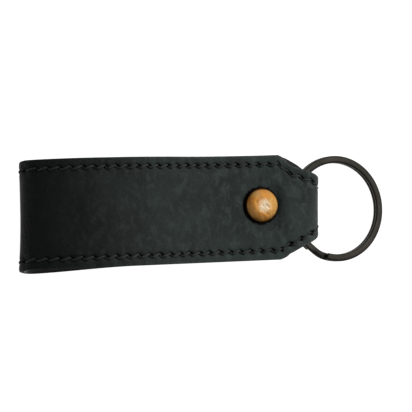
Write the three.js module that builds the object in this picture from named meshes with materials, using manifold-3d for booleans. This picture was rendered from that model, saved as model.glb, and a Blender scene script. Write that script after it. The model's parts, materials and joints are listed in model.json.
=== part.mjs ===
// A wristlet keychain: a two-ply leather strap bent into a hand loop, its narrow waist folded
// round a split ring, and the three layers of strap behind the ring held by one double-cap rivet.
// Millimetres, +Z up. It lies on its back: +X runs from the hand loop to the ring, and the origin
// is the middle of the flat on the rivet's back cap, in the plane that the keychain rests on.
import * as THREE from "three";
import { mergeVertices } from "three/addons/utils/BufferGeometryUtils.js";
import Module from "manifold-3d";

// Strap
const strapWidth = 35;
const outerPly = 1.4; // grain leather
const liningPly = 0.9;
const glueLine = 0.1; // between the two plies
const layerGap = 0.2; // between layers of strap that are pressed together
const strap = outerPly + glueLine + liningPly;

// Hand loop, measured from the rivet's axis to the far end of the bend
const loopLength = 80.2;
const loopHeight = 16.4; // to the top of the strap at its crest
const crestShare = 0.7; // of the loop's length, from the rivet's axis to the crest
const loopEndHeight = 0.44 * loopHeight; // of the foremost point of the bend

// Neck, where the strap is folded round the ring
const foldReach = 21.5; // from the rivet's axis to the outside of the fold
const neckHalfWidth = 0.263 * strapWidth;
const tailHalfWidth = strapWidth / 2 - 1.1;
const foldFlatX = 0.51 * foldReach; // the fold has its full height from here on
const tailShoulder = 0.51 * foldReach; // where the tail's showing side starts to narrow
const shoulderLag = 0.6; // the showing side starts this much later than the far side
const shoulderRun = 4.2; // and narrows faster over this first stretch
const shoulderCut = 0.11 * strapWidth; // by this much
const returnTip = 6; // the loop's other end stops here, between front and tail
const tailEnd = 12.5; // the tail stops this far behind the rivet's axis
const stackEnd = 13.5; // the layers part from each other here
const cornerClip = 1.5; // corners taken off the strap's two ends
const strapOffset = -0.8; // of the strap's middle from the rivet's axis, along Y

// Stitching
const stitchMargin = 3.1; // from the strap's edge to the row
const threadWidth = 0.8;
const threadDepth = 0.45;
const grooveRoom = 0.1; // between the thread and its groove at each side
const grooveFloor = 0.05; // under the thread, and between its top and the leather's face
const endMargin = 3; // the rows stop this far from the strap's two ends

// Split ring: one flat wire wound twice
const ringOuter = 1.034 * strapWidth; // diameter
const wireWidth = 2.5; // across the ring's plane
const wireThick = 1.3; // along the ring's axis
const wireChamfer = 0.35;
const turnGap = 0.1; // between the two turns
const splitAngle = -130; // where the wire starts, in degrees from +X
const stepSpan = 22; // degrees in which the wire steps from one turn to the other
const endGap = 1.5; // degrees between the wire's end and the step
const ringBite = 1.15; // of its inside, at the neck's edges, past the start of the fold's end
const swingRoom = 4.7; // free height in the fold beyond the ring's own thickness
const ringOffset = -0.85; // of the ring's middle from the strap's, along Y
const floorGap = 0.05; // between the ring's low side and the resting plane

// Rivet
const capRadius = 5.9;
const capSheet = 0.4;
const frontCapHeight = 1.9;
const backFlatRadius = 3.4; // set against a flat anvil
const shankRadius = 1.5;
const collarSheet = 0.4;
const collarLength = 2.2; // of the socket's collar below the leather's face
const flangeRadius = 4.4;
const rivetFit = 0.1; // between the rivet's pieces, and between them and the leather
const frontShoulder = capRadius + 0.55; // where the front layer starts to narrow

// How finely round things are cut
const turnPerStation = 8; // degrees that the strap's curve may turn between stations
const longestStation = 18;
const walkStep = 0.25;
const roundSegments = 32;
const ringSteps = 92;

// The back cap is as deep as lets the fold round the ring lie on the resting plane beside it
const ringThick = 2 * wireThick + turnGap;
const foldInside = ringThick + swingRoom; // its height
const backCapHeight = (foldInside - strap) / 2 - layerGap;

// Heights of the middle of each layer of strap
const floorLevel = strap / 2;
const tailLevel = backCapHeight + strap / 2;
const returnLevel = tailLevel + strap + layerGap;
const frontLevel = returnLevel + strap + layerGap;
const crestLevel = loopHeight - strap / 2;
const frontFace = frontLevel + strap / 2;

// The fold round the ring is centred on the middle of the stack of layers
const foldRadius = (foldInside + strap) / 2; // of the middle of the strap
const foldTop = returnLevel + foldRadius;
const foldBottom = returnLevel - foldRadius;
const foldBendX = foldReach - strap / 2 - foldRadius; // where the round end starts
const riseStart = frontShoulder - 1; // the strap parts from the stack to go round the ring
const riseEase = 0.54 * (foldFlatX - riseStart);

// The strap's middle line seen from the side, as x and z, with the grain side on its left
const loopEnd = strap / 2 - loopLength;
const crestX = -crestShare * loopLength;
const bendLength = 0.2 * loopLength; // of the underside's upward curve at the loop's end
const partLength = 0.24 * loopLength; // in which the underside comes down from the stack
const line = new THREE.Path();
line.moveTo(returnTip, returnLevel);
line.lineTo(-stackEnd, returnLevel);
line.bezierCurveTo(
  -stackEnd - 0.4 * partLength, returnLevel,
  -stackEnd - 0.45 * partLength, floorLevel,
  -stackEnd - partLength, floorLevel,
);
line.lineTo(loopEnd + bendLength, floorLevel);
line.bezierCurveTo(
  loopEnd + 0.4 * bendLength, floorLevel,
  loopEnd, 0.6 * floorLevel + 0.4 * loopEndHeight,
  loopEnd, loopEndHeight,
);
line.bezierCurveTo(
  loopEnd, 0.45 * loopEndHeight + 0.55 * crestLevel,
  0.4 * loopEnd + 0.6 * crestX, crestLevel,
  crestX, crestLevel,
);
line.bezierCurveTo(
  0.55 * crestX, crestLevel,
  0.45 * crestX - 0.55 * capRadius, frontLevel,
  -1.5 * capRadius, frontLevel,
);
line.lineTo(riseStart, frontLevel);
line.bezierCurveTo(
  riseStart + riseEase, frontLevel,
  foldFlatX - riseEase, foldTop,
  foldFlatX, foldTop,
);
line.lineTo(foldBendX, foldTop);
line.absarc(foldBendX, returnLevel, foldRadius, Math.PI / 2, -Math.PI / 2, true);
line.lineTo(foldFlatX, foldBottom);
line.bezierCurveTo(
  foldFlatX - riseEase, foldBottom,
  riseStart + riseEase, tailLevel,
  riseStart, tailLevel,
);
line.lineTo(-tailEnd, tailLevel);
const lineLength = line.getLength();

// The place on the middle line, its sideways direction and its distance along the strap
function placeAt(s) {
  const t = Math.min(Math.max(s / lineLength, 0), 1);
  const tangent = line.getTangent(t);
  return { point: line.getPoint(t), grain: new THREE.Vector2(-tangent.y, tangent.x) };
}

// How far along the strap its curves have run by the end of each
const runs = line.getCurveLengths();
const frontRun = runs[6] - riseStart; // at the rivet, on the front layer
const foldTip = (runs[8] + runs[9]) / 2;
const tailRun = lineLength - tailEnd; // at the rivet, on the tail
const frontShoulderAt = frontRun + frontShoulder;
const showingShoulderAt = frontShoulderAt + shoulderLag;
const tailShoulderAt = runs[10] + foldFlatX - tailShoulder;
const tailFarShoulderAt = tailRun - frontShoulder;

// The flat cut of the strap: half widths at the showing (+Y) side and the far (-Y) side
const halfStrap = strapWidth / 2;
const cornersShowing = [
  [0, halfStrap - cornerClip],
  [cornerClip, halfStrap],
  [showingShoulderAt, halfStrap],
  [showingShoulderAt + shoulderRun, halfStrap - shoulderCut],
  [foldTip, neckHalfWidth],
  [tailShoulderAt, tailHalfWidth],
  [lineLength - cornerClip, tailHalfWidth],
  [lineLength, tailHalfWidth - cornerClip],
];
const cornersFar = [
  [0, halfStrap - cornerClip],
  [cornerClip, halfStrap],
  [frontShoulderAt, halfStrap],
  [foldTip, neckHalfWidth],
  [tailFarShoulderAt, tailHalfWidth],
  [lineLength - cornerClip, tailHalfWidth],
  [lineLength, tailHalfWidth - cornerClip],
];

function halfWidthAt(corners, s) {
  let i = 1;
  while (i < corners.length - 1 && corners[i][0] < s) i += 1;
  const [s0, w0] = corners[i - 1];
  const [s1, w1] = corners[i];
  return w0 + ((w1 - w0) * (s - s0)) / (s1 - s0);
}

// Distances along the strap between from and to: closer together where its line turns
function stationsBetween(from, to) {
  const corners = [...cornersShowing, ...cornersFar].map((corner) => corner[0]);
  const joins = [...runs, ...corners].filter((s) => s > from && s < to);
  const stops = [...new Set(joins), to].sort((a, b) => a - b);
  const stations = [from];
  let last = placeAt(from);
  for (const stop of stops) {
    let start = stations[stations.length - 1];
    for (let s = start + walkStep; s < stop - walkStep; s += walkStep) {
      const here = placeAt(s);
      const turned = THREE.MathUtils.radToDeg(Math.acos(Math.min(1, here.grain.dot(last.grain))));
      if (turned > turnPerStation || s - start > longestStation) {
        stations.push(s);
        start = s;
        last = here;
      }
    }
    if (stop - stations[stations.length - 1] > walkStep) stations.push(stop);
    last = placeAt(stations[stations.length - 1]);
  }
  return stations;
}

// A strip that follows the strap's line: across(s) gives its two edges in y, and low and high
// are its two faces, measured from the middle of the strap towards the grain side.
function strip(stations, across, low, high) {
  const steps = stations.length - 1;
  const box = new THREE.BoxGeometry(1, 1, 1, steps, 1, 1);
  box.deleteAttribute("normal");
  box.deleteAttribute("uv");
  const vertices = box.attributes.position;
  for (let i = 0; i < vertices.count; i += 1) {
    const s = stations[Math.round((vertices.getX(i) + 0.5) * steps)];
    const [near, far] = across(s);
    const offset = vertices.getZ(i) > 0 ? high : low;
    const { point, grain } = placeAt(s);
    vertices.setXYZ(
      i,
      point.x + grain.x * offset,
      strapOffset + (vertices.getY(i) > 0 ? far : near),
      point.y + grain.y * offset,
    );
  }
  return mergeVertices(box, 1e-4);
}

// Booleans
const wasm = await Module();
wasm.setup();

function solidOf(geometry) {
  const bare = new THREE.BufferGeometry();
  bare.setAttribute("position", geometry.attributes.position);
  if (geometry.index) bare.setIndex(geometry.index);
  const merged = mergeVertices(bare, 1e-4);
  const vertProperties = new Float32Array(merged.attributes.position.array);
  const triVerts = new Uint32Array(merged.index.array);
  const solid = new wasm.Manifold(new wasm.Mesh({ numProp: 3, vertProperties, triVerts }));
  if (solid.volume() > 0) return solid;
  // The triangles face inwards, so each one is turned round
  for (let i = 0; i < triVerts.length; i += 3) {
    const second = triVerts[i + 1];
    triVerts[i + 1] = triVerts[i + 2];
    triVerts[i + 2] = second;
  }
  return new wasm.Manifold(new wasm.Mesh({ numProp: 3, vertProperties, triVerts }));
}

function geometryOf(solid) {
  const mesh = solid.getMesh();
  const geometry = new THREE.BufferGeometry();
  geometry.setAttribute("position", new THREE.BufferAttribute(mesh.vertProperties, mesh.numProp));
  geometry.setIndex(new THREE.BufferAttribute(mesh.triVerts, 1));
  geometry.computeVertexNormals();
  return geometry;
}

// Materials
const leather = new THREE.MeshStandardMaterial({ color: 0x2b2f2e, roughness: 0.55, metalness: 0 });
const lining = new THREE.MeshStandardMaterial({ color: 0x1f2121, roughness: 0.75, metalness: 0 });
const thread = new THREE.MeshStandardMaterial({ color: 0x0b0c0c, roughness: 0.5, metalness: 0 });
const copper = new THREE.MeshStandardMaterial({ color: 0xb9814f, roughness: 0.35, metalness: 1 });
const steel = new THREE.MeshStandardMaterial({ color: 0x8a8780, roughness: 0.4, metalness: 1 });
const gunmetal = new THREE.MeshStandardMaterial({ color: 0x45423d, roughness: 0.3, metalness: 1 });

const wristletKeychain = new THREE.Group();

function addPiece(name, geometry, material, parent = wristletKeychain) {
  const mesh = new THREE.Mesh(geometry, material);
  mesh.name = name;
  parent.add(mesh);
  return mesh;
}

// Strap: both plies have a groove for each row of stitches and the rivet's hole
const plyStations = stationsBetween(0, lineLength);
const rowStations = plyStations.filter((s) => s > endMargin && s < lineLength - endMargin);
rowStations.unshift(endMargin);
rowStations.push(lineLength - endMargin);

const fullWidth = (s) => [-halfWidthAt(cornersFar, s), halfWidthAt(cornersShowing, s)];

// The band that one row of stitches lies in, as wide as asked for
function rowBand(side, width) {
  const corners = side > 0 ? cornersShowing : cornersFar;
  return (s) => {
    const middle = side * (halfWidthAt(corners, s) - stitchMargin);
    return [middle - width / 2, middle + width / 2];
  };
}

const shankHole = shankRadius + rivetFit + collarSheet + rivetFit;
const holeCutter = new THREE.CylinderGeometry(
  shankHole, shankHole, frontFace + 2 * strap, roundSegments,
);
holeCutter.rotateX(Math.PI / 2);
holeCutter.translate(0, 0, returnLevel);

const grooveWidth = threadWidth + 2 * grooveRoom;
const grooveDepth = threadDepth + 2 * grooveFloor;
const cutProud = 0.4 * layerGap; // how far a groove's cutter stands out of the leather

function plyWithGrooves(low, high, face) {
  const outwards = Math.sign(face);
  const depths = [face - outwards * grooveDepth, face + outwards * cutProud];
  let ply = solidOf(strip(plyStations, fullWidth, low, high)).subtract(solidOf(holeCutter));
  for (const side of [1, -1]) {
    const groove = strip(
      rowStations, rowBand(side, grooveWidth), Math.min(...depths), Math.max(...depths),
    );
    ply = ply.subtract(solidOf(groove));
  }
  return geometryOf(ply);
}

const grainFace = strap / 2;
const liningFace = -strap / 2;
addPiece("outer_strap", plyWithGrooves(grainFace - outerPly, grainFace, grainFace), leather);
addPiece("lining_strap", plyWithGrooves(liningFace, liningFace + liningPly, liningFace), lining);

// Threads: each row has one on the grain side and one on the lining
const rows = [["showing", 1], ["far", -1]];
const faces = [["needle_thread", grainFace], ["bobbin_thread", liningFace]];
for (const [rowName, side] of rows) {
  for (const [threadName, face] of faces) {
    const outwards = Math.sign(face);
    const top = face - outwards * grooveFloor;
    const bottom = top - outwards * threadDepth;
    const laid = strip(
      rowStations, rowBand(side, threadWidth), Math.min(top, bottom), Math.max(top, bottom),
    );
    addPiece(`${threadName}_${rowName}_edge`, geometryOf(solidOf(laid)), thread);
  }
}

// Rivet: each piece is a profile of radius and height turned round the rivet's axis
function turnedPiece(profile) {
  const points = profile.map(([r, z]) => new THREE.Vector2(r, z));
  const geometry = new THREE.LatheGeometry(points, roundSegments);
  geometry.rotateX(Math.PI / 2);
  return geometryOf(solidOf(geometry));
}

// A cap: a pressed sheet cup whose rim lies on the leather at height rim, and whose crown stands
// away from it, up (1) or down (-1)
function capProfile(rim, height, flatRadius, away) {
  const at = (r, h) => [r, rim + away * h];
  const waist = { r: capRadius - 0.35, h: 0.95 };
  const outside = [
    at(capRadius - 0.55, 0),
    at(capRadius - 0.1, 0.12),
    at(capRadius, 0.5),
    at(waist.r, waist.h),
  ];
  const crownSteps = 4;
  for (let i = 1; i <= crownSteps; i += 1) {
    const a = (i / crownSteps) * (Math.PI / 2);
    const r = flatRadius + (waist.r - flatRadius) * Math.cos(a);
    outside.push(at(r, waist.h + (height - waist.h) * Math.sin(a)));
  }
  const inside = [
    at(0, height - capSheet),
    at(flatRadius, height - capSheet),
    at(capRadius - capSheet - 0.75, height - capSheet - 0.3),
    at(capRadius - capSheet - 0.2, 0.5),
    at(capRadius - capSheet - 0.35, 0),
  ];
  return [...outside, at(0, height), ...inside, outside[0]];
}

const frontRim = frontFace + rivetFit;
const backRim = backCapHeight - rivetFit;
addPiece("rivet_front_cap", turnedPiece(capProfile(frontRim, frontCapHeight, 1.2, 1)), copper);
addPiece("rivet_back_cap", turnedPiece(capProfile(backRim, backRim, backFlatRadius, -1)), copper);

// The socket crimped in the front cap, whose collar goes down round the shank
const collarInside = shankRadius + rivetFit;
const collarOutside = collarInside + collarSheet;
const socketTop = frontRim + rivetFit + collarSheet;
addPiece(
  "rivet_socket",
  turnedPiece([
    [collarInside, frontFace - collarLength],
    [collarOutside, frontFace - collarLength],
    [collarOutside, frontRim + rivetFit],
    [flangeRadius, frontRim + rivetFit],
    [flangeRadius, socketTop],
    [collarInside, socketTop],
    [collarInside, frontFace - collarLength],
  ]),
  steel,
);

// The post, whose flange is crimped in the back cap and whose tip is held in the socket
const flangeTop = backRim - rivetFit;
const flangeBottom = flangeTop - collarSheet;
const tipTop = frontRim + frontCapHeight - capSheet - rivetFit;
const tipRadius = shankRadius + 0.35;
const tipStart = socketTop + rivetFit;
addPiece(
  "rivet_post",
  turnedPiece([
    [0, flangeBottom],
    [flangeRadius, flangeBottom],
    [flangeRadius, flangeTop],
    [shankRadius, flangeTop],
    [shankRadius, tipStart],
    [tipRadius, tipStart],
    [tipRadius, (tipStart + tipTop) / 2],
    [shankRadius, tipTop],
    [0, tipTop],
  ]),
  steel,
);

// Split ring: the wire runs round once on the lower level, steps up, and runs round again
const meanRadius = (ringOuter - wireWidth) / 2;
const ringInner = meanRadius - wireWidth / 2; // radius
class SplitRingLine extends THREE.Curve {
  getPoint(t) {
    const turned = t * (720 - stepSpan - endGap);
    const stepStart = 360 - stepSpan;
    const climbed = THREE.MathUtils.smoothstep(turned, stepStart, 360);
    const angle = THREE.MathUtils.degToRad(splitAngle - turned);
    const rise = (climbed - 0.5) * (wireThick + turnGap);
    return new THREE.Vector3(meanRadius * Math.cos(angle), meanRadius * Math.sin(angle), rise);
  }
}

const halfThick = wireThick / 2;
const halfWire = wireWidth / 2;
const wireSection = new THREE.Shape([
  new THREE.Vector2(-halfThick, wireChamfer - halfWire),
  new THREE.Vector2(wireChamfer - halfThick, -halfWire),
  new THREE.Vector2(halfThick - wireChamfer, -halfWire),
  new THREE.Vector2(halfThick, wireChamfer - halfWire),
  new THREE.Vector2(halfThick, halfWire - wireChamfer),
  new THREE.Vector2(halfThick - wireChamfer, halfWire),
  new THREE.Vector2(wireChamfer - halfThick, halfWire),
  new THREE.Vector2(-halfThick, halfWire - wireChamfer),
]);
const wire = new THREE.ExtrudeGeometry(wireSection, {
  steps: ringSteps,
  bevelEnabled: false,
  extrudePath: new SplitRingLine(),
});

// It hangs from the middle of its stretch inside the fold, low side on the resting plane
const ringCentreX = foldBendX + ringBite + Math.sqrt(ringInner ** 2 - neckHalfWidth ** 2);
const wireX = ringCentreX - meanRadius; // the middle of the wire, where it is deepest in the fold
const exitHalfWidth = neckHalfWidth + 1.8; // where the wire leaves the fold
const exitX = ringCentreX - Math.sqrt(meanRadius ** 2 - exitHalfWidth ** 2);
const hingeX = (wireX + exitX) / 2;
const reach = ringCentreX + ringOuter / 2 - hingeX;
const droop =
  Math.asin((returnLevel - floorGap) / Math.hypot(reach, ringThick / 2)) -
  Math.atan2(ringThick / 2, reach);
const ringSwing = new THREE.Group();
ringSwing.position.set(hingeX, 0, returnLevel);
ringSwing.rotation.y = droop;
wristletKeychain.add(ringSwing);
const ring = addPiece("split_ring", geometryOf(solidOf(wire)), gunmetal, ringSwing);
ring.position.set(ringCentreX - hingeX, strapOffset + ringOffset, 0);

export default wristletKeychain;
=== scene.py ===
import json
import math

import bpy
import numpy as np
from mathutils import Matrix, Vector

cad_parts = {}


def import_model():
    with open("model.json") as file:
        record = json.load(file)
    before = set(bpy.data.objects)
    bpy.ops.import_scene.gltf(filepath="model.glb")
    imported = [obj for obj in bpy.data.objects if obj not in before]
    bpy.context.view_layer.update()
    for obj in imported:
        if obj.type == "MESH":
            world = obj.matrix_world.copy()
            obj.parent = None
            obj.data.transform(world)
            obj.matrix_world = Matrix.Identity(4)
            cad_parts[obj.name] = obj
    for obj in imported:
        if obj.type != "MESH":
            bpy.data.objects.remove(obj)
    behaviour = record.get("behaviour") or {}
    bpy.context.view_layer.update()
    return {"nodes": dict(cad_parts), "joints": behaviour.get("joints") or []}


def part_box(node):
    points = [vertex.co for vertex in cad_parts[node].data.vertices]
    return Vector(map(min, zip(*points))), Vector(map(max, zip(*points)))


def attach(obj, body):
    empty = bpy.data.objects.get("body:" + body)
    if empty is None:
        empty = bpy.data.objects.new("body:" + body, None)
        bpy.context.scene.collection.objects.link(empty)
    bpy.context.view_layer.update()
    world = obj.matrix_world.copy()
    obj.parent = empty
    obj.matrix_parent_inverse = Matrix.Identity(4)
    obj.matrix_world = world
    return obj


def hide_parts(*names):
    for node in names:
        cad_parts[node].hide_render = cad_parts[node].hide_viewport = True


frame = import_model()

MM = 0.001
rng = np.random.default_rng(7)

# ---------------------------------------------------------------- dimensions, in millimetres

def node_box(name):
    low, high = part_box(name)
    return np.array(low) / MM, np.array(high) / MM


strap_low, strap_high = node_box("outer_strap")
cap_low, cap_high = node_box("rivet_front_cap")

# Strap, as the solids have it
STRAP_WIDTH = strap_high[1] - strap_low[1]
STRAP_OFFSET = (strap_high[1] + strap_low[1]) / 2  # of its middle from the rivet's axis
LOOP_LENGTH = -strap_low[0]
LOOP_HEIGHT = strap_high[2]
FOLD_REACH = strap_high[0]
CAP_RADIUS = cap_high[0]
OUTER_PLY = 1.4
LINING_PLY = 0.9
STRAP = 2.4  # both plies and the glue between them
LAYER_GAP = 0.2
CREST_SHARE = 0.7
LOOP_END_SHARE = 0.44
NECK_HALF_WIDTH = 0.263 * STRAP_WIDTH
TAIL_HALF_WIDTH = STRAP_WIDTH / 2 - 1.1
FRONT_SHOULDER = CAP_RADIUS + 0.55
TAIL_SLIP = 0.9  # the tail lies this much towards the showing side
FOLD_FLAT_X = 0.51 * FOLD_REACH  # the fold has its full height from here on
TAIL_SHOULDER = 0.51 * FOLD_REACH
RETURN_TIP = 6
TAIL_END = 12.5
STACK_END = 13.5
CORNER_CLIP = 1.5
SHOULDER_LAG = 0.6  # the showing side narrows this much later than the far side
SHOULDER_RUN = 4.2  # and faster over this first stretch
SHOULDER_CUT = 0.11 * STRAP_WIDTH  # by this much

# Ring
RING_OUTER = 1.034 * STRAP_WIDTH
RING_BITE = 1.15  # of its inside, at the neck's edges, past the start of the fold's end
WIRE_WIDTH = 2.5
WIRE_THICK = 1.3
TURN_GAP = 0.1
RING_THICK = 2 * WIRE_THICK + TURN_GAP
FOLD_INSIDE = RING_THICK + 4.7
BACK_CAP_HEIGHT = (FOLD_INSIDE - STRAP) / 2 - LAYER_GAP
SPLIT_ANGLE = -130
STEP_SPAN = 22
END_GAP = 1.5

# Stitching
STITCH_MARGIN = 3.1
END_MARGIN = 3
STITCH_PITCH = 3.63
THREAD_RADIUS = 0.33
STITCH_SLANT = 0.52  # how far each stitch's ends lie to either side of the row
STITCH_RISE = 0.0  # of the thread's middle above the leather, half way along a stitch
STITCH_DIVE = 0.85  # of the thread's middle below the leather, in a hole
AWL_LENGTH = 1.1  # of half a hole, along its slant
AWL_WIDTH = 0.6  # of half a hole, across it
AWL_ANGLE = -0.75  # of a hole's slant from the row, in radians

# How the leather lies, off its even line
LOOP_FLARE = 0.4  # the edges stand out this much at the loop's end
FOLD_DRAWN_IN = 0.3  # and the middle is drawn in this much at the fold
LOOP_SKEW = 0.04  # of the loop's end out of square, per width
FOLD_SKEW = 0.05
UNDER_SLIP = 1.2  # the loop's underside lies this much towards the far side, near its end
CREST_START = -2.5  # the front layer starts rising to the fold here along X
CREST_END = 14.5

# Fineness of the leather
STATION_STEP = 0.24
EDGE_COLUMNS = [0.06, 0.2, 0.45, 0.8, 1.2, 1.6, 1.9, 2.15, 2.35, 2.55, 2.75, 2.95, 3.1]
EDGE_COLUMNS += [3.25, 3.45, 3.65, 3.85, 4.05, 4.3, 4.7, 5.2]
FIELD_COLUMNS = 14


# ---------------------------------------------------------------- the strap's line

tail_level = BACK_CAP_HEIGHT + STRAP / 2
return_level = tail_level + STRAP + LAYER_GAP
front_level = return_level + STRAP + LAYER_GAP
fold_radius = (FOLD_INSIDE + STRAP) / 2
fold_top = return_level + fold_radius
fold_bottom = return_level - fold_radius
fold_bend_x = FOLD_REACH - STRAP / 2 - fold_radius


def straight(a, b, steps=40):
    t = np.linspace(0, 1, steps)[:, None]
    return np.array(a) * (1 - t) + np.array(b) * t


def bezier(a, b, c, d, steps=80):
    t = np.linspace(0, 1, steps)[:, None]
    a, b, c, d = (np.array(p, float) for p in (a, b, c, d))
    return (1 - t) ** 3 * a + 3 * (1 - t) ** 2 * t * b + 3 * (1 - t) * t**2 * c + t**3 * d


def strap_line():
    """The middle of the strap from its inner end to its tail as x and z, stretch by stretch."""
    floor_level = STRAP / 2
    crest_level = LOOP_HEIGHT - STRAP / 2
    end_height = LOOP_END_SHARE * LOOP_HEIGHT
    loop_end = STRAP / 2 - LOOP_LENGTH
    crest_x = -CREST_SHARE * LOOP_LENGTH
    bend = 0.2 * LOOP_LENGTH
    part = 0.24 * LOOP_LENGTH
    rise_start = FRONT_SHOULDER - 1
    ease = 0.54 * (FOLD_FLAT_X - rise_start)
    turn = np.linspace(0, math.pi, 80)
    bend_z = return_level + fold_radius * np.cos(turn)
    return [
        straight((RETURN_TIP, return_level), (-STACK_END, return_level)),
        bezier(
            (-STACK_END, return_level),
            (-STACK_END - 0.4 * part, return_level),
            (-STACK_END - 0.45 * part, floor_level),
            (-STACK_END - part, floor_level),
        ),
        straight((-STACK_END - part, floor_level), (loop_end + bend, floor_level)),
        bezier(
            (loop_end + bend, floor_level),
            (loop_end + 0.4 * bend, floor_level),
            (loop_end, 0.6 * floor_level + 0.4 * end_height),
            (loop_end, end_height),
        ),
        bezier(
            (loop_end, end_height),
            (loop_end, 0.45 * end_height + 0.55 * crest_level),
            (0.4 * loop_end + 0.6 * crest_x, crest_level),
            (crest_x, crest_level),
        ),
        bezier(
            (crest_x, crest_level),
            (0.55 * crest_x, crest_level),
            (0.45 * crest_x - 0.55 * CAP_RADIUS, front_level),
            (-1.5 * CAP_RADIUS, front_level),
        ),
        straight((-1.5 * CAP_RADIUS, front_level), (rise_start, front_level)),
        bezier(
            (rise_start, front_level),
            (rise_start + ease, front_level),
            (FOLD_FLAT_X - ease, fold_top),
            (FOLD_FLAT_X, fold_top),
        ),
        straight((FOLD_FLAT_X, fold_top), (fold_bend_x, fold_top)),
        np.stack([fold_bend_x + fold_radius * np.sin(turn), bend_z], 1),
        straight((fold_bend_x, fold_bottom), (FOLD_FLAT_X, fold_bottom)),
        bezier(
            (FOLD_FLAT_X, fold_bottom),
            (FOLD_FLAT_X - ease, fold_bottom),
            (rise_start + ease, tail_level),
            (rise_start, tail_level),
        ),
        straight((rise_start, tail_level), (-TAIL_END, tail_level)),
    ]


stretches = strap_line()
runs = np.cumsum([np.linalg.norm(np.diff(part, axis=0), axis=1).sum() for part in stretches])
line_points = np.vstack([stretches[0]] + [part[1:] for part in stretches[1:]])
line_runs = np.concatenate(
    [[0], np.cumsum(np.linalg.norm(np.diff(line_points, axis=0), axis=1))]
)
LENGTH = line_runs[-1]
line_tangents = np.gradient(line_points, line_runs, axis=0)
line_tangents /= np.linalg.norm(line_tangents, axis=1)[:, None]

front_run = runs[6] - (FRONT_SHOULDER - 1)  # at the rivet, on the front layer
tail_run = LENGTH - TAIL_END  # at the rivet, on the tail
showing_shoulder = front_run + FRONT_SHOULDER + SHOULDER_LAG
fold_tip = (runs[8] + runs[9]) / 2
loop_tip = runs[3]


def on_line(s):
    """x and z of the strap's middle and of the direction towards its grain side."""
    x, z = (np.interp(s, line_runs, line_points[:, i]) for i in (0, 1))
    tx, tz = (np.interp(s, line_runs, line_tangents[:, i]) for i in (0, 1))
    return x, z, -tz, tx


# The flat cut: half widths of the strap at its showing (+Y) edge and at its far edge
CUT = {
    1: [
        (0, STRAP_WIDTH / 2 - CORNER_CLIP),
        (CORNER_CLIP, STRAP_WIDTH / 2),
        (showing_shoulder, STRAP_WIDTH / 2),
        (showing_shoulder + SHOULDER_RUN, STRAP_WIDTH / 2 - SHOULDER_CUT),
        (fold_tip, NECK_HALF_WIDTH),
        (runs[10] + FOLD_FLAT_X - TAIL_SHOULDER, TAIL_HALF_WIDTH),
        (LENGTH - CORNER_CLIP, TAIL_HALF_WIDTH),
        (LENGTH, TAIL_HALF_WIDTH - CORNER_CLIP),
    ],
    -1: [
        (0, STRAP_WIDTH / 2 - CORNER_CLIP),
        (CORNER_CLIP, STRAP_WIDTH / 2),
        (front_run + FRONT_SHOULDER, STRAP_WIDTH / 2),
        (fold_tip, NECK_HALF_WIDTH),
        (tail_run - FRONT_SHOULDER, TAIL_HALF_WIDTH),
        (LENGTH - CORNER_CLIP, TAIL_HALF_WIDTH),
        (LENGTH, TAIL_HALF_WIDTH - CORNER_CLIP),
    ],
}
CORNER_SOFTNESS = 0.7  # the knife's corners are rounded over this length


def half_width(side, s):
    corners = np.array(CUT[side])
    spread = np.linspace(-CORNER_SOFTNESS, CORNER_SOFTNESS, 7)
    near = np.clip(np.asarray(s)[..., None] + spread, 0, LENGTH)
    return np.interp(near, corners[:, 0], corners[:, 1]).mean(-1)


def smooth(low, high, x):
    t = np.clip((x - low) / (high - low), 0, 1)
    return t * t * (3 - 2 * t)


def sway(s, across):
    """How far the whole strap, both plies alike, stands off its even line. across is -1 to 1."""
    x = on_line(s)[0]
    loose = smooth(18, 30, -x)
    flare = LOOP_FLARE * np.exp(-(((s - loop_tip) / 10) ** 2))
    waves = (
        0.11 * np.sin(2 * math.pi * s / 37 + 0.8) * np.cos(1.9 * across + 0.5)
        + 0.06 * np.sin(2 * math.pi * s / 19 + 2.0 + 2.3 * across)
        + 0.03 * np.sin(2 * math.pi * s / 8.3 - 3.1 * across)
    )
    drawn_in = FOLD_DRAWN_IN * np.exp(-(((s - fold_tip) / 4) ** 2))
    return flare * across**2 - drawn_in * (1 - across**2) + loose * waves


def relax(s, y):
    """How far the front layer stands off its even line where it leaves the rivet for the fold:
    it rises from beside the rivet on, and not all at once beyond it."""
    x, z = on_line(s)[:2]
    height = z - front_level
    eased = (fold_top - front_level) * smooth(CREST_START, CREST_END, x)
    held = 1 - smooth(CAP_RADIUS + 0.3, CAP_RADIUS + 4.5, np.hypot(x, y + STRAP_OFFSET))
    on_front = smooth(-6, -3, x) * (s > runs[5]) * (s < runs[8])
    return on_front * (1 - held) * (eased - height)


def skew(x):
    """How much further along X the strap's showing edge lies than its far edge, per width: both
    of its bends were made a little out of square."""
    return LOOP_SKEW * smooth(20, 60, -x) + FOLD_SKEW * smooth(4, 16, x)


def slip(s):
    """How far the strap lies to the showing side, as its tail does. Its underside lies away."""
    under = smooth(loop_tip - 40, loop_tip - 4, s) * (1 - smooth(loop_tip - 6, loop_tip + 3, s))
    return TAIL_SLIP * smooth(fold_tip, fold_tip + 7, s) - UNDER_SLIP * under


def lay(s, y, n):
    """Points in metres from the distance along the strap, the one across it and the height
    above its middle towards the grain side."""
    x, z, nx, nz = on_line(s)
    half = np.where(y > 0, half_width(1, s), half_width(-1, s))
    off = n + sway(s, np.clip(y / half, -1, 1))
    across = STRAP_OFFSET + y + slip(s)
    return np.stack([x + nx * off + skew(x) * y, across, z + nz * off + relax(s, y)], -1) * MM


# ---------------------------------------------------------------- making meshes

def add_mesh(name, points, faces):
    mesh = bpy.data.meshes.new(name)
    mesh.from_pydata(points.tolist(), [], faces)
    mesh.update()
    mesh.shade_smooth()
    piece = bpy.data.objects.new(name, mesh)
    bpy.context.scene.collection.objects.link(piece)
    return piece


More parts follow.
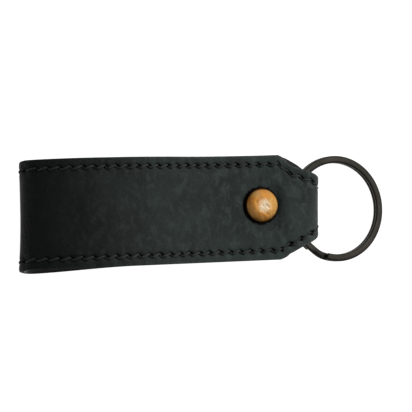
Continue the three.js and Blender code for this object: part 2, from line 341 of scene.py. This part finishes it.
def give_values(piece, **values):
    """Numbers kept at each point of the mesh, for its material to read."""
    for name, numbers in values.items():
        layer = piece.data.attributes.new(name, "FLOAT", "POINT")
        layer.data.foreach_set("value", np.ascontiguousarray(numbers, np.float32).ravel())


def skin_faces(rings, around):
    """Faces of a skin over rings of points laid one after another, each closed on itself."""
    i, j = np.meshgrid(np.arange(rings - 1), np.arange(around), indexing="ij")
    k = (j + 1) % around
    here, ahead = i * around, (i + 1) * around
    quads = np.stack([here + j, here + k, ahead + k, ahead + j], -1)
    faces = quads.reshape(-1, 4).tolist()
    faces.append(list(range(around - 1, -1, -1)))
    faces.append([(rings - 1) * around + m for m in range(around)])
    return faces


def stand_in(piece, body, slot, material, *nodes):
    piece.data.materials.append(material)
    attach(piece, body)
    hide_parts(*nodes)


# ---------------------------------------------------------------- materials

class Nodes:
    """A material's node tree, with short ways to add and join its nodes."""

    def __init__(self, name):
        self.material = bpy.data.materials.new(name)
        self.material.use_nodes = True
        self.tree = self.material.node_tree
        self.surface = self.tree.nodes["Principled BSDF"]

    def add(self, kind, **settings):
        node = self.tree.nodes.new(kind)
        for key, value in settings.items():
            if hasattr(node, key):
                setattr(node, key, value)
            else:
                self.set(node.inputs[key.replace("_", " ")], value)
        return node

    def set(self, socket, value):
        if isinstance(value, bpy.types.NodeSocket):
            self.tree.links.new(value, socket)
        else:
            socket.default_value = value

    def surface_is(self, **values):
        for key, value in values.items():
            self.set(self.surface.inputs[key.replace("_", " ")], value)

    def place(self, stretch=(1, 1, 1)):
        where = self.add("ShaderNodeTexCoord").outputs["Object"]
        if stretch == (1, 1, 1):
            return where
        return self.add("ShaderNodeMapping", Vector=where, Scale=stretch).outputs["Vector"]

    def noise(self, scale, detail=4.0, roughness=0.55, vector=None, distortion=0.0):
        node = self.add("ShaderNodeTexNoise")
        self.set(node.inputs["Vector"], vector or self.place())
        self.set(node.inputs["Scale"], scale)
        self.set(node.inputs["Detail"], detail)
        self.set(node.inputs["Roughness"], roughness)
        self.set(node.inputs["Distortion"], distortion)
        return node.outputs["Fac"]

    def cells(self, scale, feature="F1", vector=None, randomness=1.0):
        node = self.add("ShaderNodeTexVoronoi", feature=feature)
        self.set(node.inputs["Vector"], vector or self.place())
        self.set(node.inputs["Scale"], scale)
        self.set(node.inputs["Randomness"], randomness)
        return node.outputs["Distance"]

    def between(self, value, low, high, to_low=0.0, to_high=1.0):
        node = self.add("ShaderNodeMapRange", interpolation_type="SMOOTHSTEP")
        self.set(node.inputs["Value"], value)
        self.set(node.inputs["From Min"], low)
        self.set(node.inputs["From Max"], high)
        self.set(node.inputs["To Min"], to_low)
        self.set(node.inputs["To Max"], to_high)
        return node.outputs["Result"]

    def sum(self, operation, a, b):
        node = self.add("ShaderNodeMath", operation=operation)
        self.set(node.inputs[0], a)
        self.set(node.inputs[1], b)
        return node.outputs["Value"]

    def mix(self, share, a, b):
        node = self.add("ShaderNodeMix", data_type="RGBA")
        self.set(node.inputs[0], share)
        self.set(node.inputs[6], a)
        self.set(node.inputs[7], b)
        return node.outputs[2]

    def tinted(self, under, colour, value, low, high, strength):
        """under, with colour laid over it more and more as value goes from low to high."""
        share = self.sum("MULTIPLY", self.between(value, low, high), strength)
        return self.mix(share, under, colour)

    def scaled(self, colour, factor):
        node = self.add("ShaderNodeVectorMath", operation="SCALE", Vector=colour, Scale=factor)
        return node.outputs["Vector"]

    def along_strap(self):
        return self.add("ShaderNodeSeparateXYZ", Vector=self.place()).outputs["X"]

    def kept(self, name):
        return self.add("ShaderNodeAttribute", attribute_name=name).outputs["Fac"]

    def bump(self, height, distance, strength=1.0, under=None):
        node = self.add("ShaderNodeBump")
        self.set(node.inputs["Height"], height)
        self.set(node.inputs["Distance"], distance)
        self.set(node.inputs["Strength"], strength)
        if under is not None:
            self.set(node.inputs["Normal"], under)
        return node.outputs["Normal"]


def leather_material():
    n = Nodes("black_grain_leather")
    wobble = n.add("ShaderNodeTexNoise", Scale=900.0, Detail=2.0, Vector=n.place())
    shifted = n.add("ShaderNodeVectorMath", operation="MULTIPLY_ADD")
    n.set(shifted.inputs[0], wobble.outputs["Color"])
    shifted.inputs[1].default_value = (0.0004, 0.0004, 0.0004)
    n.set(shifted.inputs[2], n.place())
    pebble = n.cells(1500.0, "DISTANCE_TO_EDGE", shifted.outputs["Vector"])
    pebbles = n.between(pebble, 0.0, 0.28)
    pores = n.noise(5200.0, 2.0)
    creases = n.noise(340.0, 5.0, 0.6, distortion=0.6)
    blotches = n.noise(75.0, 5.0, 0.6)
    rub = n.noise(28.0, 3.0, 0.5)
    cut = n.kept("cut")
    wear = n.kept("wear")
    along = n.along_strap()
    smears = n.noise(380.0, 6.0, 0.7, n.place((1, 0.7, 1)), 0.4)
    deep, pale = (0.0218, 0.0287, 0.0265, 1), (0.0371, 0.0488, 0.0452, 1)
    dye = n.mix(n.between(blotches, 0.32, 0.7), deep, pale)
    dye = n.tinted(dye, (0.0530, 0.0697, 0.0645, 1), rub, 0.42, 0.72, 0.35)
    dye = n.tinted(dye, (0.0648, 0.0853, 0.0789, 1), smears, 0.46, 0.66, 0.5)
    dye = n.tinted(dye, (0.0542, 0.0713, 0.0660, 1), creases, 0.3, 0.7, wear)
    raw = n.mix(n.noise(1800.0, 3.0), (0.007, 0.007, 0.006, 1), (0.028, 0.027, 0.021, 1))
    dye = n.mix(cut, dye, raw)
    # Painted shade and light: the leather's colour is darkened towards the loop's end, down to
    # black, and lightened towards the neck, along the strap's X.
    painted_shade_at_end = n.between(along, -0.09, -0.035, 0.0, 0.94)
    painted_light_at_neck = n.between(along, -0.07, 0.02, 0.78, 1.5)
    dye = n.scaled(dye, n.sum("MULTIPLY", painted_shade_at_end, painted_light_at_neck))
    # Painted shade: the colour goes near black in the stitch holes, along the rows' furrows and in
    # a ring round each rivet cap.
    dye = n.mix(n.between(n.kept("pit"), 0.08, 0.45), dye, (0.001, 0.0015, 0.0015, 1))
    matt = n.between(blotches, 0.3, 0.75, 0.43, 0.6)
    matt = n.sum("ADD", matt, n.sum("MULTIPLY", pores, 0.08))
    matt = n.sum("ADD", matt, n.sum("MULTIPLY", cut, 0.2))
    normal = n.bump(creases, 0.0005, 0.9)
    normal = n.bump(pebbles, 0.00006, 0.8, normal)
    normal = n.bump(pores, 0.00003, 0.6, normal)
    n.surface_is(Base_Color=dye, Roughness=matt, Normal=normal)
    n.surface_is(Specular_IOR_Level=0.14)
    return n.material


def lining_material():
    n = Nodes("black_lining_leather")
    fibre = n.noise(2200.0, 5.0, 0.65)
    blotches = n.noise(110.0, 4.0, 0.6)
    creases = n.noise(420.0, 4.0, 0.6, distortion=0.8)
    cut = n.kept("cut")
    dye = n.mix(n.between(blotches, 0.35, 0.7), (0.010, 0.011, 0.011, 1), (0.020, 0.021, 0.020, 1))
    raw = n.mix(fibre, (0.010, 0.010, 0.009, 1), (0.042, 0.040, 0.035, 1))
    dye = n.mix(n.sum("MULTIPLY", cut, 0.8), dye, raw)
    matt = n.between(fibre, 0.3, 0.75, 0.66, 0.85)
    normal = n.bump(creases, 0.00015, 0.5)
    normal = n.bump(fibre, 0.00006, 0.7, normal)
    n.surface_is(Base_Color=dye, Roughness=matt, Normal=normal, Sheen_Weight=0.12)
    return n.material


def thread_material():
    n = Nodes("black_waxed_thread")
    fibre = n.noise(6500.0, 3.0)
    wax = n.noise(700.0, 3.0)
    dye = n.mix(n.between(fibre, 0.3, 0.7), (0.026, 0.033, 0.031, 1), (0.066, 0.078, 0.073, 1))
    # Painted shade: the thread's colour is darkened towards the loop's end, along the strap's X,
    # as the leather's is.
    thread_painted_shade = n.between(n.along_strap(), -0.09, -0.035, 0.2, 1.0)
    dye = n.scaled(dye, thread_painted_shade)
    shine = n.between(wax, 0.3, 0.7, 0.45, 0.65)
    n.surface_is(Base_Color=dye, Roughness=shine, Normal=n.bump(fibre, 0.00003, 0.7))
    n.surface_is(Sheen_Weight=0.1, Specular_IOR_Level=0.35)
    return n.material


CROWN_HIGHLIGHT_SPOT = (0.0006, -0.0002, 0.0134)  # on the front cap's crown: the middle of a painted highlight, pale like rubbed plating


def copper_material():
    n = Nodes("hammered_copper")
    patina = n.noise(330.0, 5.0, 0.6, distortion=0.5)
    gold = n.noise(210.0, 3.0, 0.5)
    specks = n.noise(2600.0, 3.0, 0.6)
    skirt = n.kept("skirt")
    metal = n.mix(n.between(gold, 0.38, 0.62), (0.46, 0.19, 0.036, 1), (0.50, 0.27, 0.075, 1))
    metal = n.tinted(metal, (0.58, 0.36, 0.16, 1), patina, 0.45, 0.72, 0.4)
    metal = n.tinted(metal, (0.26, 0.11, 0.035, 1), specks, 0.55, 0.70, 0.7)
    # Painted highlight: a pale cream patch laid on the front cap's crown, broken up by the patina
    # noise.
    off_middle = n.add("ShaderNodeVectorMath", operation="DISTANCE")
    n.set(off_middle.inputs[0], n.place())
    off_middle.inputs[1].default_value = CROWN_HIGHLIGHT_SPOT
    wear_and_highlight = n.between(off_middle.outputs["Value"], 0.0016, 0.0034, 1.0, 0.0)
    wear_and_highlight = n.sum("MULTIPLY", wear_and_highlight, n.between(patina, 0.28, 0.6, 0.35, 0.95))
    metal = n.mix(wear_and_highlight, metal, (0.72, 0.60, 0.42, 1))
    dots = n.between(n.cells(1900.0), 0.18, 0.42, 0.75, 0.0)
    metal = n.tinted(metal, (0.24, 0.11, 0.03, 1), gold, 0.4, 0.55, dots)
    # Painted shade: the cap's rolled rim and its inside are coloured near black-brown, and made
    # duller.
    metal = n.mix(skirt, metal, (0.030, 0.011, 0.005, 1))
    dull = n.sum("ADD", n.between(patina, 0.3, 0.7, 0.34, 0.5), n.sum("MULTIPLY", skirt, 0.25))
    normal = n.bump(n.cells(950.0, "SMOOTH_F1"), 0.00006, 0.5)
    normal = n.bump(specks, 0.00003, 0.6, normal)
    n.surface_is(Base_Color=metal, Roughness=dull, Metallic=1.0, Normal=normal)
    return n.material


def steel_material():
    n = Nodes("plain_rivet_steel")
    grime = n.noise(600.0, 4.0)
    metal = n.mix(n.between(grime, 0.4, 0.7), (0.42, 0.41, 0.39, 1), (0.25, 0.24, 0.22, 1))
    n.surface_is(Base_Color=metal, Metallic=1.0, Roughness=n.between(grime, 0.3, 0.7, 0.3, 0.5))
    n.surface_is(Normal=n.bump(n.noise(3000.0), 0.00002, 0.5))
    return n.material


def gunmetal_material():
    n = Nodes("gunmetal_plating")
    along = n.add("ShaderNodeCombineXYZ")
    n.set(along.inputs["X"], n.sum("MULTIPLY", n.kept("along"), 0.06))
    n.set(along.inputs["Y"], n.sum("MULTIPLY", n.kept("around"), 26.0))
    streaks = n.noise(1.0, 5.0, 0.6, along.outputs["Vector"])
    tint = n.noise(130.0, 4.0, 0.55)
    rubbed = n.noise(420.0, 4.0, 0.6)
    metal = n.mix(n.between(tint, 0.35, 0.65), (0.031, 0.030, 0.025, 1), (0.043, 0.039, 0.034, 1))
    metal = n.tinted(metal, (0.10, 0.093, 0.08, 1), streaks, 0.55, 0.75, 0.5)
    metal = n.tinted(metal, (0.020, 0.019, 0.016, 1), rubbed, 0.6, 0.75, 0.35)
    dull = n.sum("ADD", n.between(rubbed, 0.3, 0.7, 0.24, 0.36), n.sum("MULTIPLY", streaks, 0.08))
    normal = n.bump(streaks, 0.00004, 0.5)
    normal = n.bump(n.noise(2400.0, 3.0), 0.000015, 0.5, normal)
    n.surface_is(Base_Color=metal, Roughness=dull, Metallic=1.0, Normal=normal)
    return n.material


leather = leather_material()
lining = lining_material()
thread = thread_material()
copper = copper_material()
steel = steel_material()
gunmetal = gunmetal_material()


# ---------------------------------------------------------------- leather plies

def rounded_drop(d, radius):
    """How far a rounded arris falls below its face at the distance d from the edge."""
    inside = np.clip(radius - d, 0, radius)
    return radius - np.sqrt(radius**2 - inside**2)


def stitch_relief(s, d, side):
    """The dent that a row of stitches pulls into a face, d in from the edge at one side, and the
    painted shade that darkens its holes.
    """
    row = side * (STITCH_MARGIN - d)
    phase = (s - END_MARGIN) / STITCH_PITCH
    from_hole = (phase - np.round(phase)) * STITCH_PITCH
    sewn = smooth(END_MARGIN - 1, END_MARGIN, s) * smooth(END_MARGIN - 1, END_MARGIN, LENGTH - s)
    furrow = -0.18 * np.exp(-((row / 0.75) ** 2))
    c, q = math.cos(AWL_ANGLE), math.sin(AWL_ANGLE)
    along = (from_hole * c + row * q) / AWL_LENGTH
    across = (row * c - from_hole * q) / AWL_WIDTH
    hole = -0.75 * np.exp(-(along**2) - across**2)
    # painted shade: near black in each stitch hole and, fainter, along the row's furrow
    pit = sewn * (np.exp(-(along**2) - across**2) + 0.2 * np.exp(-((row / 0.55) ** 2)))
    pucker = 0.07 * np.cos(2 * math.pi * phase) * np.exp(-(((d - 1.5) / 0.9) ** 2))
    pillow = 0.07 * np.cos(2 * math.pi * phase) * np.exp(-(((d - 4.5) / 0.8) ** 2))
    return sewn * (furrow + hole - pucker - pillow), pit


def from_rivet(s, y):
    """Distance from the rivet's axis, on the two layers that its caps lie on."""
    near = np.minimum(np.abs(s - front_run), np.abs(s - tail_run)) < 12
    return np.where(near, np.hypot(on_line(s)[0], y + STRAP_OFFSET), 99.0)


def rivet_relief(s, y):
    """Leather pressed down under the rivet's caps and swollen a little round them."""
    r = from_rivet(s, y)
    sunk = -0.3 * (1 - smooth(CAP_RADIUS - 0.5, CAP_RADIUS + 1.4, r))
    return sunk + 0.1 * np.exp(-(((r - CAP_RADIUS - 1.9) / 0.9) ** 2))


def pressed(s, y):
    """How dark the leather is painted round a cap's rim: a painted shadow where the cap meets the
    leather.
    """
    return 0.9 * (1 - smooth(CAP_RADIUS, CAP_RADIUS + 0.6, from_rivet(s, y)))


def columns(side, s):
    """Distances from the edge, across one half of the strap, and where they lie in y."""
    half = half_width(side, s)[:, None]
    edge = np.array(EDGE_COLUMNS)[None, :]
    share = np.arange(1, FIELD_COLUMNS)[None, :] / FIELD_COLUMNS
    field = edge[:, -1:] + (half - edge[:, -1:]) * share
    d = np.concatenate([np.repeat(edge, len(s), 0), field], 1)
    return d, side * (half - d)


def ply(name, low, high, face, arris):
    """One ply: low and high are its faces above the strap's middle, face the one that shows, and
    arris the rounding of the showing face's edges."""
    ends = np.array([0, 0.05, 0.15, 0.3, 0.5])
    inner = np.arange(0.8, LENGTH - 0.8, STATION_STEP)
    s = np.concatenate([ends, inner, LENGTH - ends[::-1]])
    out = np.sign(face)
    back = low if out > 0 else high
    back_arris = 0.12
    parts = []

    def face_points(side, d, y):
        from_end = np.minimum(s, LENGTH - s)[:, None]
        arris_drop = rounded_drop(np.minimum(d, from_end + 0.02), arris)
        grid = np.broadcast_to(s[:, None], d.shape)
        relief, pit = stitch_relief(grid, d, side)
        relief = relief + rivet_relief(grid, y) * (out > 0)
        thinned = -0.08 * np.exp(-((d / 1.1) ** 2))
        crest = 0.5 * np.exp(-(((grid - runs[7]) / 2) ** 2)) * smooth(4, 7, d)
        wear_and_highlight = np.exp(-(((d - 0.35) / 0.3) ** 2)) + crest
        height = face + out * (relief + thinned - arris_drop)
        # the last value is painted shade: the stitch holes and a dark ring round the rivet caps
        parts.append((grid, y, height, 0.7 * (d < 0.1), wear_and_highlight, pit + pressed(grid, y)))

    def flat_points(y, n, cut):
        grid = np.broadcast_to(s[:, None], y.shape)
        none = np.zeros(y.shape)
        parts.append((grid, y, np.full(y.shape, n), np.full(y.shape, cut), none, none))

    far_d, far_y = columns(-1, s)
    near_d, near_y = columns(1, s)
    face_points(-1, far_d, far_y)
    face_points(1, half_width(1, s)[:, None], np.zeros((len(s), 1)))
    face_points(1, near_d[:, ::-1], near_y[:, ::-1])
    near_half = half_width(1, s)[:, None]
    far_half = half_width(-1, s)[:, None]
    flat_points(near_half, face - out * arris, 1.0)
    flat_points(near_half, back + out * back_arris, 1.0)
    flat_points(near_half - back_arris, back, 0.6)
    for share in (0.8, 0.6, 0.4, 0.2, 0):
        flat_points(near_half * share, back, 0.0)
    for share in (0.2, 0.4, 0.6, 0.8):
        flat_points(-far_half * share, back, 0.0)
    flat_points(back_arris - far_half, back, 0.6)
    flat_points(-far_half, back + out * back_arris, 1.0)
    flat_points(-far_half, face - out * arris, 1.0)

    grid, y, n, cut, wear, pit = (
        np.concatenate([part[i] for part in parts], 1) for i in range(6)
    )
    cut[[0, 1, -2, -1]] = 1
    faces = skin_faces(len(s), grid.shape[1])
    if out > 0:
        faces = [f[::-1] for f in faces]
    piece = add_mesh(name, lay(grid, y, n).reshape(-1, 3), faces)
    give_values(piece, cut=cut, wear=wear, pit=pit)
    return piece


def bore(piece, radius):
    """Cuts the rivet's hole through every layer of a ply."""
    bpy.ops.mesh.primitive_cylinder_add(
        vertices=48, radius=radius * MM, depth=0.03, location=(0, 0, return_level * MM)
    )
    cutter = bpy.context.object
    modifier = piece.modifiers.new("bore", "BOOLEAN")
    modifier.operation = "DIFFERENCE"
    modifier.solver = "EXACT"
    modifier.object = cutter
    bpy.context.view_layer.objects.active = piece
    bpy.ops.object.modifier_apply(modifier="bore")
    bpy.data.objects.remove(cutter)


SHANK_HOLE = 2.1
grain_face = STRAP / 2
OUTER_ARRIS, LINING_ARRIS = 0.45, 0.2
outer_faces = (grain_face - OUTER_PLY, grain_face, grain_face)
lining_faces = (-grain_face, LINING_PLY - grain_face, -grain_face)
plies = [
    ("outer_strap", outer_faces, OUTER_ARRIS, "grain_leather", leather),
    ("lining_strap", lining_faces, LINING_ARRIS, "lining_leather", lining),
]
for node, (low, high, face), arris, slot, material in plies:
    piece = ply(node + "_ply", low, high, face, arris)
    bore(piece, SHANK_HOLE)
    stand_in(piece, "strap", slot, material, node)


# ---------------------------------------------------------------- stitches

def swept(name, path, section, twist=0.0):
    """A skin over a section (points across the path, in its own x and y) carried along a path."""
    tangents = np.gradient(path, axis=0)
    tangents /= np.linalg.norm(tangents, axis=1)[:, None]
    side = np.cross(tangents[0], (0.0, 0.0, 1.0))
    if np.linalg.norm(side) < 0.1:
        side = np.array((0.0, 1.0, 0.0))
    rings = []
    run = 0.0
    for i, (point, tangent) in enumerate(zip(path, tangents)):
        side = side - tangent * side.dot(tangent)
        side /= np.linalg.norm(side)
        up = np.cross(side, tangent)
        run += np.linalg.norm(path[i] - path[i - 1]) if i else 0.0
        c, q = math.cos(twist * run), math.sin(twist * run)
        x = section[:, :1] * c - section[:, 1:] * q
        y = section[:, :1] * q + section[:, 1:] * c
        rings.append(point + x * side + y * up)
    return add_mesh(name, np.concatenate(rings), skin_faces(len(path), len(section)))


def yarn_section(radius, plies_in_yarn=3, points=12):
    a = np.arange(points) / points * 2 * math.pi
    r = radius * (0.92 + 0.1 * np.cos(plies_in_yarn * a))
    return np.stack([r * np.cos(a), r * np.sin(a)], 1)


def sew(name, side, face, slant):
    """One thread of a row: over the leather from hole to hole, and down into each hole."""
    holes = np.arange(END_MARGIN, LENGTH - END_MARGIN, STITCH_PITCH)
    t = np.array([0.0, 0.04, 0.1, 0.17, 0.26, 0.38, 0.5, 0.62, 0.74, 0.83, 0.9, 0.96, 1.0])
    s = (holes[:-1, None] + STITCH_PITCH * (0.1 + 0.8 * t[None, :])).ravel()
    stitches = len(holes) - 1
    looseness = 1 + 0.12 * rng.standard_normal(stitches)[:, None]
    arch = np.sin(math.pi * t[None, :]) ** 0.45
    rise = -STITCH_DIVE + (STITCH_RISE * looseness + STITCH_DIVE) * arch
    lean = slant * (2 * t[None, :] - 1) * (1 + 0.15 * rng.standard_normal(stitches)[:, None])
    row = side * (half_width(side, s) - STITCH_MARGIN)
    path = lay(s, row + lean.ravel(), face + np.sign(face) * rise.ravel())
    return swept(name, path, yarn_section(THREAD_RADIUS * MM), twist=2 * math.pi / (1.6 * MM))


for row_name, side in (("showing", 1), ("far", -1)):
    for thread_name, face, slant in (
        ("needle_thread", grain_face, STITCH_SLANT),
        ("bobbin_thread", -grain_face, 0.4 * STITCH_SLANT),
    ):
        node = f"{thread_name}_{row_name}_edge"
        piece = sew(node + "_stitches", side, face, slant)
        stand_in(piece, "strap", "thread", thread, node)


# ---------------------------------------------------------------- rivet

def turned(name, profile, around=96, dent=None):
    """A closed profile of radius and height turned round the rivet's axis. dent lowers points."""
    a = np.arange(around) / around * 2 * math.pi
    r, z = np.array(profile).T
    x = r[:, None] * np.cos(a)
    y = r[:, None] * np.sin(a)
    z = np.repeat(z[:, None], around, 1)
    if dent is not None:
        z = z + dent(x, y, np.arange(len(profile))[:, None])
    points = np.stack([x, y, z], -1).reshape(-1, 3) * MM
    return add_mesh(name, points, skin_faces(len(profile), around))


CAP_SHEET = 0.4
CROWN_STEPS = 30


def cap_profile(rim, height, flat, away):
    """From the middle of the crown out to the rim, round it, and back to the middle inside."""
    waist_r, waist_h = CAP_RADIUS - 0.35, 0.95
    out = []
    for i in range(CROWN_STEPS + 1):
        a = math.pi / 2 * (1 - i / CROWN_STEPS)
        r = flat + (waist_r - flat) * math.cos(a)
        out.append((r, waist_h + (height - waist_h) * math.sin(a)))
    fill = [(flat * k / 6, height) for k in range(6)]
    fill[0] = (0.02, height)
    rim_turn = [(CAP_RADIUS - 0.12, 0.74), (CAP_RADIUS, 0.48), (CAP_RADIUS - 0.04, 0.26)]
    rim_turn += [(CAP_RADIUS - 0.2, 0.08), (CAP_RADIUS - 0.5, 0)]
    inside = [(CAP_RADIUS - CAP_SHEET - 0.35, 0), (CAP_RADIUS - CAP_SHEET - 0.2, 0.5)]
    inside += [(CAP_RADIUS - CAP_SHEET - 0.75, height - CAP_SHEET - 0.3)]
    inside += [(0.02, height - CAP_SHEET)]
    shape = fill + out + rim_turn + inside
    return [(r, rim + away * h) for r, h in shape], len(fill) + len(out)


def hammer_marks(count, spread, shift, depth):
    centres = rng.normal(0, spread, (count, 2)) + shift
    sizes = rng.uniform(0.3, 0.75, count)
    depths = depth * rng.uniform(0.4, 1.0, count) * rng.choice([1, 1, -0.6], count)

    def lowered(x, y):
        total = np.zeros_like(x)
        for (cx, cy), size, deep in zip(centres, sizes, depths):
            total += deep * np.exp(-(((x - cx) ** 2 + (y - cy) ** 2) / size**2))
        return total

    return lowered


def cap(node, rim, height, flat, away, marks):
    profile, crown = cap_profile(rim, height, flat, away)

    def dent(x, y, ring):
        inner = 1 - smooth(CAP_RADIUS - 1.2, CAP_RADIUS - 0.5, np.hypot(x, y))
        return -away * marks(x, y) * (ring < crown) * inner

    piece = turned(node + "_pressed", profile, dent=dent)
    if away < 0:
        piece.data.flip_normals()
    radius = np.array(profile)[:, 0]
    # where the cap gets its painted shade: the rolled rim and all of its inside
    skirt = smooth(CAP_RADIUS - 0.7, CAP_RADIUS - 0.35, radius)
    skirt[crown + 5 :] = 1
    give_values(piece, skirt=np.repeat(skirt[:, None], 96, 1))
    stand_in(piece, "strap", "copper", copper, node)


front_rim = cap_low[2]
back_rim = node_box("rivet_back_cap")[1][2]
front_marks = hammer_marks(60, 1.8, np.array([0.8, -0.2]), 0.05)
back_marks = hammer_marks(24, 1.9, np.array([0.0, 0.0]), 0.03)
cap("rivet_front_cap", front_rim, cap_high[2] - front_rim, 1.2, 1, front_marks)
cap("rivet_back_cap", back_rim, back_rim, 3.4, -1, back_marks)
for node in ("rivet_socket", "rivet_post"):
    inner = frame["nodes"][node]
    inner.data.materials.clear()
    inner.data.materials.append(steel)


# ---------------------------------------------------------------- split ring

swing = next(j for j in frame["joints"] if j["name"] == "ring_swing")
hinge = np.array(swing["pos_m"]) / MM
mean_radius = (RING_OUTER - WIRE_WIDTH) / 2
ring_inner = RING_OUTER / 2 - WIRE_WIDTH
centre_x = fold_bend_x + RING_BITE + math.sqrt(ring_inner**2 - NECK_HALF_WIDTH**2)
centre_reach = centre_x - hinge[0]
outer_reach = centre_reach + RING_OUTER / 2
droop = math.asin((hinge[2] - 0.05) / math.hypot(outer_reach, RING_THICK / 2))
droop -= math.atan2(RING_THICK / 2, outer_reach)


def ring_path(steps=520):
    turned_by = np.linspace(0, 720 - STEP_SPAN - END_GAP, steps)
    climbed = smooth(360 - STEP_SPAN, 360, turned_by)
    angle = np.radians(SPLIT_ANGLE - turned_by)
    x = centre_reach + mean_radius * np.cos(angle)
    y = mean_radius * np.sin(angle)
    z = (climbed - 0.5) * (WIRE_THICK + TURN_GAP)
    c, q = math.cos(droop), math.sin(droop)
    return np.stack([hinge[0] + x * c + z * q, hinge[1] + y, hinge[2] - x * q + z * c], 1) * MM


def wire_section(points=28, squareness=2.7):
    a = np.arange(points) / points * 2 * math.pi
    c, q = np.cos(a), np.sin(a)
    x = WIRE_WIDTH / 2 * np.sign(c) * np.abs(c) ** (2 / squareness)
    y = WIRE_THICK / 2 * np.sign(q) * np.abs(q) ** (2 / squareness)
    return np.stack([x, y], 1) * MM


def split_ring():
    path = ring_path()
    section = wire_section()
    normal = np.array([math.sin(droop), 0, math.cos(droop)])
    tangents = np.gradient(path, axis=0)
    tangents /= np.linalg.norm(tangents, axis=1)[:, None]
    runs_along = np.concatenate([[0], np.cumsum(np.linalg.norm(np.diff(path, axis=0), axis=1))])
    from_end = np.minimum(runs_along, runs_along[-1] - runs_along) / MM
    size = 1 - 0.2 * (1 - smooth(0, 0.35, from_end))
    rings = []
    for point, tangent, shrink in zip(path, tangents, size):
        side = np.cross(tangent, normal)
        side /= np.linalg.norm(side)
        up = np.cross(side, tangent)
        rings.append(point + shrink * (section[:, :1] * side + section[:, 1:] * up))
    piece = add_mesh("split_ring_wire", np.concatenate(rings), skin_faces(len(path), len(section)))
    around = np.abs(np.arange(len(section)) / len(section) * 2 - 1)
    give_values(
        piece,
        along=np.repeat(runs_along[:, None] / MM, len(section), 1),
        around=np.repeat(around[None, :], len(path), 0),
    )
    stand_in(piece, "ring", "gunmetal", gunmetal, "split_ring")


split_ring()


# ---------------------------------------------------------------- floor, light and camera

FLOOR_LEVEL = -0.0004  # just under the stitches of the strap's underside


def floor():
    bpy.ops.mesh.primitive_plane_add(size=60, location=(0, 0, FLOOR_LEVEL))
    plane = bpy.context.object
    plane.name = "floor"
    n = Nodes("pale_floor")
    n.surface_is(Base_Color=(0.4, 0.4, 0.4, 1), Roughness=0.9, Specular_IOR_Level=0.1)
    n.surface_is(Emission_Color=(1, 1, 1, 1), Emission_Strength=0.98)
    plane.data.materials.append(n.material)


def aim(thing, target):
    direction = Vector(target) - thing.location
    thing.rotation_euler = direction.to_track_quat("-Z", "Y").to_euler()


def softbox(name, place, size, watts):
    light = bpy.data.lights.new(name, "AREA")
    light.shape = "RECTANGLE"
    light.size, light.size_y = size
    light.energy = watts
    lamp = bpy.data.objects.new(name, light)
    bpy.context.scene.collection.objects.link(lamp)
    lamp.location = place
    aim(lamp, (0, 0, 0))


def world(strength):
    sky = bpy.data.worlds.new("studio")
    sky.use_nodes = True
    background = sky.node_tree.nodes["Background"]
    background.inputs["Color"].default_value = (1, 1, 1, 1)
    background.inputs["Strength"].default_value = strength
    bpy.context.scene.world = sky


CAMERA_TILT = 16.7  # degrees from straight down, towards the loop's end
CAMERA_LEAN = 2.3  # degrees towards the far edge
CAMERA_ROLL = -2.46
CAMERA_DISTANCE = 0.472
CAMERA_TARGET = (-0.01886, 0.00042, 0.009)
FOCAL_IN_FRAMES = 1431.5 / 412  # focal length over the frame's width


def camera():
    made = bpy.data.cameras.new("camera")
    made.sensor_width = 36
    made.lens = 36 * FOCAL_IN_FRAMES
    made.clip_start = 0.01
    eye = bpy.data.objects.new("camera", made)
    bpy.context.scene.collection.objects.link(eye)
    turn = (
        Matrix.Rotation(math.radians(-CAMERA_TILT), 4, "Y")
        @ Matrix.Rotation(math.radians(CAMERA_LEAN), 4, "X")
        @ Matrix.Rotation(math.radians(CAMERA_ROLL), 4, "Z")
    )
    back = Matrix.Translation((0, 0, CAMERA_DISTANCE))
    eye.matrix_world = Matrix.Translation(CAMERA_TARGET) @ turn @ back
    bpy.context.scene.camera = eye


floor()
world(0.1)
softbox("key", (0.55, 0.26, 0.6), (1.2, 1.2), 6.0)
softbox("fill", (-0.5, -0.05, 0.45), (0.8, 0.8), 0.45)
softbox("top", (0.3, 0.12, 0.75), (0.3, 0.3), 0.35)
camera()
bpy.context.scene.view_settings.view_transform = "Standard"
bpy.context.scene.view_settings.look = "None"
